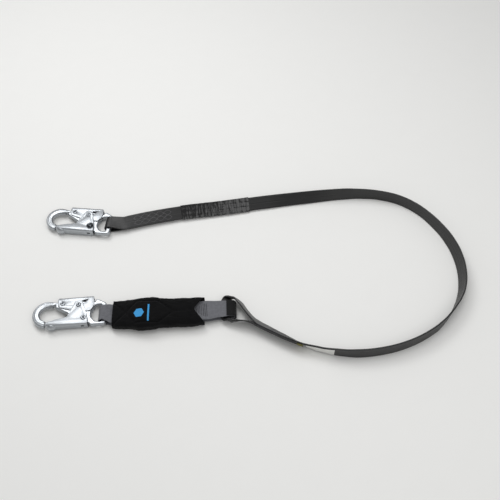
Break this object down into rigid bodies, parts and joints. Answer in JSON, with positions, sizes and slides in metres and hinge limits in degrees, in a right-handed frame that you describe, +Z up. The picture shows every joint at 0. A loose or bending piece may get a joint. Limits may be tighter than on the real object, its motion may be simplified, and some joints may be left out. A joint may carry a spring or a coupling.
{
  "type": "shock absorbing lanyard",
  "caption": "Flat coated webbing lanyard with a self-locking snap hook at each end and a covered tear-webbing shock pack.",
  "frame": {"origin": "on the floor, under the middle of the two hooks and the shock pack", "axes": "+X from the hooks towards the strap's bend, +Y from the harness hook towards the anchor hook, +Z up from the surface that the lanyard lies on"},
  "size_m": [0.8164, 0.3766, 0.0319],
  "materials": {
    "forged_steel": "bright zinc-plated forging",
    "pressed_steel": "bright zinc-plated pressing",
    "rivet_steel": "plated rivet heads",
    "spring_steel": "drawn spring wire",
    "strap_webbing": "coated webbing with a satin sheen",
    "thread": "bonded sewing thread",
    "clear_sleeve": "glossy clear shrink sleeve over black webbing",
    "white_tag": "plain white tag",
    "binding_tape": "woven binding tape",
    "load_webbing": "woven grey webbing",
    "tear_webbing": "folded undyed tear webbing",
    "cover_fabric": "matt black cover fabric"
  },
  "bodies": {
    "strap": {"strap_webbing": "strap_webbing", "strap_anchor_loop": "strap_webbing", "strap_anchor_tail": "strap_webbing", "strap_anchor_stitch": "thread", "strap_clear_sleeve": "clear_sleeve", "strap_pack_loop": "strap_webbing", "strap_pack_tail": "strap_webbing", "strap_pack_stitch": "thread", "strap_tail_binding": "binding_tape", "strap_tag": "white_tag"},
    "pack": {"pack_cover": "cover_fabric", "pack_tear_web": "tear_webbing", "pack_front_loop": "load_webbing", "pack_rear_loop": "load_webbing", "pack_wear_sleeve": "cover_fabric", "pack_rear_stitch": "thread"},
    "anchor_hook": {"anchor_hook_frame": "forged_steel", "anchor_gate_rivet": "rivet_steel", "anchor_lock_rivet": "rivet_steel", "anchor_lock_spring": "spring_steel"},
    "anchor_gate": {"anchor_gate": "pressed_steel", "anchor_lock_pin": "rivet_steel", "anchor_gate_spring": "spring_steel"},
    "anchor_lock": {"anchor_lock_lever": "pressed_steel"},
    "harness_hook": {"harness_hook_frame": "forged_steel", "harness_gate_rivet": "rivet_steel", "harness_lock_rivet": "rivet_steel", "harness_lock_spring": "spring_steel"},
    "harness_gate": {"harness_gate": "pressed_steel", "harness_lock_pin": "rivet_steel", "harness_gate_spring": "spring_steel"},
    "harness_lock": {"harness_lock_lever": "pressed_steel"}
  },
  "joints": [
    {"name": "anchor_hook_swing", "type": "hinge", "parent": "strap", "child": "anchor_hook", "pos_m": [-0.06347, 0.09917, 0.00995], "axis": [0.0941, 0.9956, 0], "range_deg": [-95, 95]},
    {"name": "pack_swing", "type": "hinge", "parent": "strap", "child": "pack", "pos_m": [0.17351, -0.09864, 0.0094], "axis": [-0.0349, 0.9994, 0], "range_deg": [-40, 60], "deforming": ["strap_pack_loop"]},
    {"name": "harness_hook_swing", "type": "hinge", "parent": "pack", "child": "harness_hook", "pos_m": [-0.04885, -0.1064, 0.00995], "axis": [-0.0872, 0.9962, 0], "range_deg": [-95, 95]},
    {"name": "anchor_lock_press", "type": "hinge", "parent": "anchor_hook", "child": "anchor_lock", "pos_m": [-0.1359, 0.12992, 0.00995], "axis": [0, 0, -1], "range_deg": [0, 9], "stiffness_Nm_per_rad": 0.5, "springref_deg": -14.32},
    {"name": "anchor_gate_swing", "type": "hinge", "parent": "anchor_hook", "child": "anchor_gate", "pos_m": [-0.1003, 0.0921, 0.00995], "axis": [0, 0, -1], "range_deg": [0, 20], "stiffness_Nm_per_rad": 0.3, "springref_deg": -20.05},
    {"name": "harness_lock_press", "type": "hinge", "parent": "harness_hook", "child": "harness_lock", "pos_m": [-0.12564, -0.08923, 0.00995], "axis": [0, 0, -1], "range_deg": [0, 9], "stiffness_Nm_per_rad": 0.5, "springref_deg": -14.32},
    {"name": "harness_gate_swing", "type": "hinge", "parent": "harness_hook", "child": "harness_gate", "pos_m": [-0.0838, -0.12, 0.00995], "axis": [0, 0, -1], "range_deg": [0, 20], "stiffness_Nm_per_rad": 0.3, "springref_deg": -20.05}
  ],
  "couplings": [
    {"joint": "anchor_gate_swing", "follows": "anchor_lock_press", "ratio": 2.222},
    {"joint": "harness_gate_swing", "follows": "harness_lock_press", "ratio": 2.222}
  ]
}
